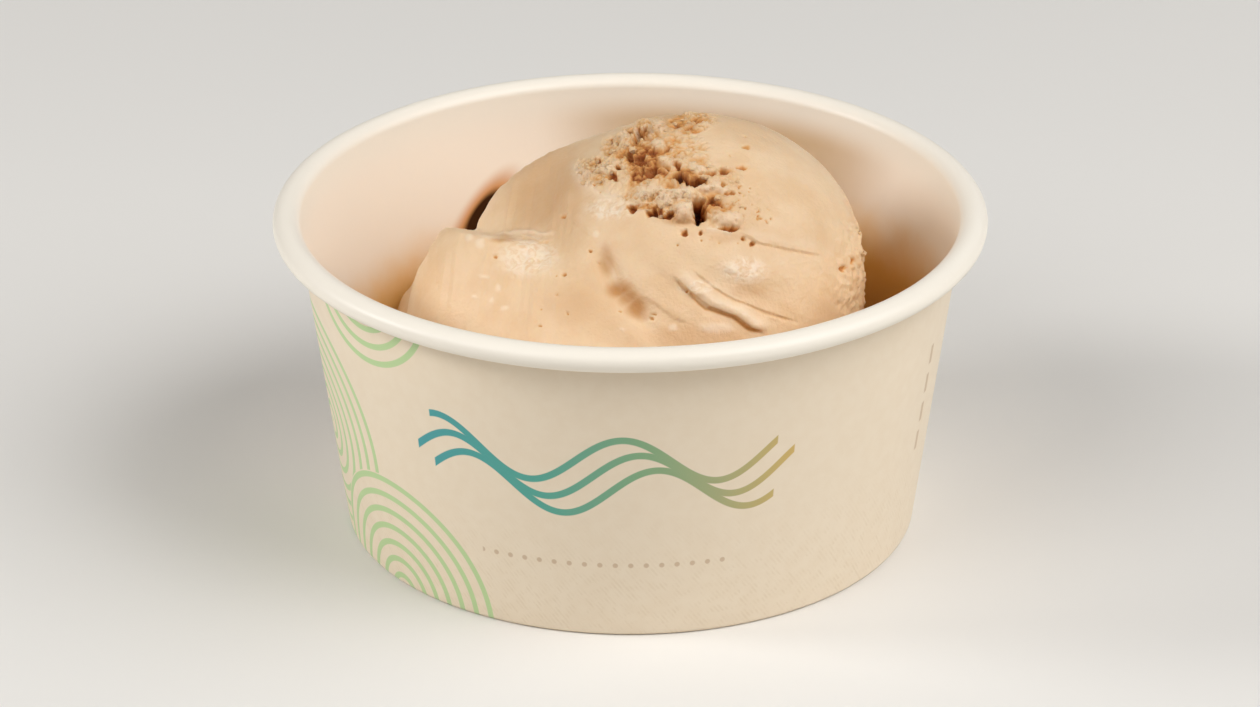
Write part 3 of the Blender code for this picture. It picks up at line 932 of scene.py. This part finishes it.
def buildGelato(material):
    shape = refinedMound()
    directions = vertexDirections(shape)
    points = heart + directions * moundReach(directions)[:, None]
    normals = placeVertices(shape, points)
    across, up = onFace(points)
    facing = eased(-(normals @ ahead), -0.02, 0.2)
    torn, brown = tornShare(across, up)
    # it reaches a little past the crest, so that the crest looks crumbly too
    torn = torn * np.maximum(facing, eased(-(normals @ ahead), -0.2, 0.05) * eased(points[:, 2], 47.0, 50.0))
    crumbly = rightEdge(across, up)
    wetAndPaintedHighlight = np.zeros(len(points))
    # wet places: less rough, and painted with a pale highlight in the material
    for centre, radii in face["wetAndPaintedHighlight"]:
        wetAndPaintedHighlight = np.maximum(wetAndPaintedHighlight, facing * eased(1.3 - oval(across, up, centre, radii), 0.0, 0.8))

    points = points + directions * broadMarks(points, across, up, facing)[:, None]
    normals = placeVertices(shape, points)
    relief, paintedShade, paleAndPaintedHighlight, brownAndPaintedShade = fineMarks(points, across, up, facing, torn)
    ragged, gapShade = crumble(points, torn, brown, crumbly)
    points = points + normals * (relief + ragged + skin(points, across, up, facing, wetAndPaintedHighlight))[:, None]

    # the ridges sag over the grooves below them
    for path, *rest, overhang in [(f[0], f[4]) for f in face["folds"]] + [(l[0], l[3]) for l in face["lips"]]:
        share, side = alongPath(across, up, path)
        sag = facing * ends(share) * overhang * np.exp(-(((side - 0.45) / 0.5) ** 2))
        points -= upward * sag[:, None]
    points = keepInside(points)
    normals = placeVertices(shape, points)
    tree = BVHTree.FromBMesh(shape)
    bmesh.ops.scale(shape, vec=(mm, mm, mm), verts=shape.verts)
    piece = finishPiece("gelato_mound", shape, [material], "gelato", "gelato")
    # painted shade: grooves, pits and pores, and the gaps between grains except on pale places
    paintedHollowShade = np.maximum(paintedShade, np.minimum(gapShade, 0.75) * (1.0 - np.minimum(2.0 * paleAndPaintedHighlight, 1.0)))
    brownAndPaintedShade = np.maximum(brownAndPaintedShade, 0.35 * brown * torn)
    layers = {"paintedShade": paintedHollowShade, "paleAndPaintedHighlight": paleAndPaintedHighlight, "wetAndPaintedHighlight": wetAndPaintedHighlight, "torn": torn, "brownAndPaintedShade": brownAndPaintedShade}
    for name, values in layers.items():
        attribute = piece.data.attributes.new(name, "FLOAT", "POINT")
        attribute.data.foreach_set("value", values.astype(np.float32))
    print("gelato mound built:", len(piece.data.polygons), "triangles")
    return tree


crumbs = {
    # loose crumbs at the edge: (across, up), (half width, half height), how far out of the surface
    "nodules": (
        ((31.2, 29.2), (0.6, 0.5), 0.1),
        ((30.5, 33.4), (0.4, 0.35), 0.1),
        ((29.9, 36.0), (0.4, 0.3), 0.0),
        ((31.0, 27.2), (0.35, 0.4), 0.0),
        ((0.4, 46.9), (0.5, 0.4), 0.0),
        ((9.7, 43.4), (0.45, 0.35), 0.1),
        ((4.2, 39.6), (0.5, 0.35), 0.0),
        ((11.6, 40.6), (0.5, 0.4), 0.0),
    ),
    "grains": 60,
    "grainSizes": (0.15, 0.36),
    "spread": 7,  # seed of the scatter
}


def buildCrumbs(tree, material):
    chance = np.random.default_rng(crumbs["spread"])
    shape = bmesh.new()

    def drop(across, up, radii, lift, level):
        toward = ahead * face["span"] + rightward * across + upward * (up - face["lift"])
        hit, normal, index, distance = tree.ray_cast(Vector(eye), Vector(toward).normalized())
        if hit is None:
            return
        width, height = radii
        place = Matrix.Translation(hit + normal * lift) @ Matrix(
            np.column_stack([rightward, upward, -ahead]).tolist()
        ).to_4x4()
        squash = Matrix.Diagonal((width, height, (width + height) * 0.45, 1.0))
        made = bmesh.ops.create_icosphere(shape, subdivisions=level, radius=1.0)["verts"]
        turn = Matrix.Rotation(chance.uniform(0, math.tau), 4, Vector(chance.normal(size=3)).normalized())
        for vertex in made:
            lump = 1.0 + 0.5 * noise.noise(vertex.co * 1.1 + hit) + 0.2 * noise.noise(vertex.co * 2.6 + hit)
            vertex.co = place @ squash @ (vertex.co * lump if level > 2 else turn @ (vertex.co * lump))

    for (across, up), radii, lift in crumbs["nodules"]:
        drop(across, up, radii, lift, 4)
    placed = 0
    while placed < crumbs["grains"]:
        across, up = chance.uniform(-8.0, 19.0), chance.uniform(35.0, 52.5)
        weight, stain = (share[0] for share in tornShare(np.array([across]), np.array([up])))
        if stain > 0.3 or chance.uniform() > weight**2:
            continue
        size = chance.uniform(*crumbs["grainSizes"])
        drop(across, up, (size * chance.uniform(0.8, 1.6), size * chance.uniform(0.7, 1.1)), -size * 0.3, 3)
        placed += 1
    bmesh.ops.scale(shape, vec=(mm, mm, mm), verts=shape.verts)
    bmesh.ops.recalc_face_normals(shape, faces=shape.faces)
    piece = finishPiece("gelato_crumbs", shape, [material], "gelato")
    for name, value in (("paintedShade", 0.0), ("paleAndPaintedHighlight", 0.0), ("wetAndPaintedHighlight", 0.0), ("torn", 0.8), ("brownAndPaintedShade", 0.2)):
        attribute = piece.data.attributes.new(name, "FLOAT", "POINT")
        attribute.data.foreach_set("value", np.full(len(piece.data.vertices), value, np.float32))
    print("crumbs built:", len(piece.data.polygons), "triangles")


gelatoLook = {
    "cream": "#EBCCA6",
    "creamDeep": "#E5C299",
    # pale flecks, and painted highlights on ridges, lips and wet places
    "paleAndPaintedHighlight": "#F7E5CE",
    # brown of the torn ground and of painted shade
    "brownAndPaintedShade": "#C2884A",
    # painted shade colours, from light brown to nearly black
    "paintedHollowShade": ((0.0, "#E8BC80"), (0.35, "#D89C5A"), (0.65, "#A65C24"), (1.0, "#3A1003")),
}


def churnedGelato():
    # churned milk ice with coffee: a dense soft body that light enters a little, a faint wet shine, browner where torn
    material, tree, shader, inMm = newMaterial("churned_coffee_gelato")
    layers = {}
    for name in ("paleAndPaintedHighlight", "paintedShade", "wetAndPaintedHighlight", "torn", "brownAndPaintedShade"):
        layers[name] = addNode(tree, "Attribute", {"attribute_name": name}).outputs["Fac"]
    drift = addNode(tree, "TexNoise", {"Scale": 0.16, "Detail": 4.0}, {"Vector": inMm}).outputs[0]
    colour = blendColours(tree, rise(tree, drift, 0.35, 0.65), gelatoLook["cream"], gelatoLook["creamDeep"])
    # browning and painted shade
    colour = blendColours(tree, maths(tree, "MULTIPLY", layers["brownAndPaintedShade"], 0.9), colour, gelatoLook["brownAndPaintedShade"])
    # painted highlight: wet places, fold ridges and lips are painted paler, the wet places in fine wrinkles; flecks and
    # lumps are paler too
    wrinkles = addNode(tree, "TexNoise", {"Scale": 0.9, "Detail": 5.0, "Distortion": 1.2}, {"Vector": inMm}).outputs[0]
    paintedWetHighlight = maths(tree, "MULTIPLY", layers["wetAndPaintedHighlight"], rise(tree, wrinkles, 0.3, 0.62))
    light = maths(tree, "MAXIMUM", maths(tree, "MULTIPLY", layers["paleAndPaintedHighlight"], 0.7), maths(tree, "MULTIPLY", paintedWetHighlight, 0.75))
    colour = blendColours(tree, light, colour, gelatoLook["paleAndPaintedHighlight"])
    # torn ground is specked with browner grains, 0.4 to 1 mm
    specks = addNode(tree, "TexNoise", {"Scale": 1.9, "Detail": 4.0, "Roughness": 0.7}, {"Vector": inMm}).outputs[0]
    stain = maths(tree, "MULTIPLY", maths(tree, "MULTIPLY", layers["torn"], rise(tree, specks, 0.55, 0.64)), 0.65)
    colour = blendColours(tree, stain, colour, gelatoLook["brownAndPaintedShade"])
    # painted shade: grooves, pits, pores and gaps darken through brown to nearly black
    ramp = addNode(tree, "ValToRGB", links={0: layers["paintedShade"]})
    steps = ramp.color_ramp.elements
    for index, (position, code) in enumerate(gelatoLook["paintedHollowShade"]):
        step = steps[index] if index < 2 else steps.new(position)
        step.position = position
        step.color = paint(code)
    colour = blendColours(tree, rise(tree, layers["paintedShade"], 0.03, 0.4), colour, ramp.outputs[0])
    tree.links.new(colour, shader.inputs["Base Color"])
    # ice grain about 0.3 mm across
    grain = addNode(tree, "TexNoise", {"Scale": 2.4, "Detail": 4.0}, {"Vector": inMm}).outputs[0]
    bump = addNode(tree, "Bump", {"Strength": 0.7, "Distance": 0.00014}, {"Height": grain})
    height = maths(tree, "MULTIPLY", specks, layers["torn"])
    creased = maths(tree, "MULTIPLY_ADD", maths(tree, "MULTIPLY", wrinkles, layers["wetAndPaintedHighlight"]), 0.25, height)
    rough = addNode(tree, "Bump", {"Strength": 0.75, "Distance": 0.0005}, {"Height": creased, "Normal": bump.outputs[0]})
    tree.links.new(rough.outputs[0], shader.inputs["Normal"])
    dry = maths(tree, "MULTIPLY_ADD", grain, 0.2, 0.36)
    shine = maths(tree, "SUBTRACT", dry, maths(tree, "MULTIPLY", layers["wetAndPaintedHighlight"], 0.14))
    tree.links.new(shine, shader.inputs["Roughness"])
    shader.inputs["IOR"].default_value = 1.38
    shader.inputs["Subsurface Weight"].default_value = 0.3
    shader.inputs["Subsurface Radius"].default_value = (1.0, 0.62, 0.35)
    shader.inputs["Subsurface Scale"].default_value = 0.0008
    return material


gelatoMaterial = churnedGelato()
moundTree = buildGelato(gelatoMaterial)
buildCrumbs(moundTree, gelatoMaterial)

# ---- floor and light ----

studio = {
    "floor": "#E6E3DE",
    "aim": (0.0, 0.0, 20.0),
    # softboxes: name, degrees round from the front, degrees above the floor, distance, width, power
    "softboxes": (
        ("key", 72.0, 42.0, 1200.0, 1100.0, 10.8),
        ("rightFront", 45.0, 55.0, 1000.0, 500.0, 1.7),
        ("left", -88.0, 29.0, 1000.0, 300.0, 3.8),
        ("leftFront", -45.0, 42.0, 1000.0, 600.0, 3.4),
        ("rightBack", 150.0, 22.0, 1000.0, 600.0, 0.8),
    ),
    "roomLight": 0.02,
}


def buildStudio():
    shape = bmesh.new()
    bmesh.ops.create_grid(shape, x_segments=1, y_segments=1, size=6.0)
    mesh = bpy.data.meshes.new("floor")
    shape.to_mesh(mesh)
    shape.free()
    material, tree, shader, inMm = newMaterial("matt_studio_floor")
    cloud = addNode(tree, "TexNoise", {"Scale": 0.004}, {"Vector": inMm}).outputs[0]
    tree.links.new(blendColours(tree, cloud, studio["floor"], "#E3E0DB"), shader.inputs["Base Color"])
    shader.inputs["Roughness"].default_value = 0.9
    mesh.materials.append(material)
    floor = bpy.data.objects.new("floor", mesh)
    bpy.context.scene.collection.objects.link(floor)

    for name, around, above, distance, width, power in studio["softboxes"]:
        data = bpy.data.lights.new(name, "AREA")
        data.shape = "DISK"
        data.size = width * mm
        data.energy = power
        turn, lift = math.radians(around), math.radians(above)
        back = Vector((math.sin(turn) * math.cos(lift), -math.cos(turn) * math.cos(lift), math.sin(lift)))
        lamp = bpy.data.objects.new(name, data)
        lamp.location = (Vector(studio["aim"]) + back * distance) * mm
        lamp.rotation_mode = "QUATERNION"
        lamp.rotation_quaternion = (-back).to_track_quat("-Z", "Y")
        bpy.context.scene.collection.objects.link(lamp)

    world = bpy.data.worlds.new("studio")
    world.use_nodes = True
    sky = world.node_tree.nodes["Background"]
    sky.inputs["Color"].default_value = paint("#FFFCF6")
    sky.inputs["Strength"].default_value = studio["roomLight"]
    bpy.context.scene.world = world
    bpy.context.scene.view_settings.view_transform = "Standard"


buildStudio()
print("floor and light placed")

print("finished")
